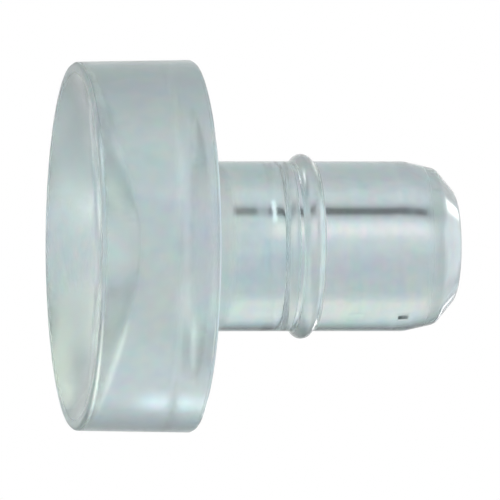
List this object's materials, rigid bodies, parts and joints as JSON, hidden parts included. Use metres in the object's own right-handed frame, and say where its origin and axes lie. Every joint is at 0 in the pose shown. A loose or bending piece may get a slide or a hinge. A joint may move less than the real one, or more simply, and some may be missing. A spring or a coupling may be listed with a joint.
{
  "type": "shelf support pin",
  "caption": "Clear plastic shelf support pin with a thick round head that is dished in front, a shank with a gripping bead and a chamfered tip.",
  "frame": {"origin": "centre of the flat ring round the dish in the head's front face, on which the pin stands", "axes": "+Z along the axis of the pin, from the head towards the tip; X and Y lie in the plane of the head's front land and are equal"},
  "size_m": [0.011, 0.011, 0.0113],
  "materials": {
    "clear_plastic": "clear with a faint grey-green tint, polished shank and slightly satin head"
  },
  "bodies": {
    "root": {"support_pin": "clear_plastic"}
  },
  "joints": []
}
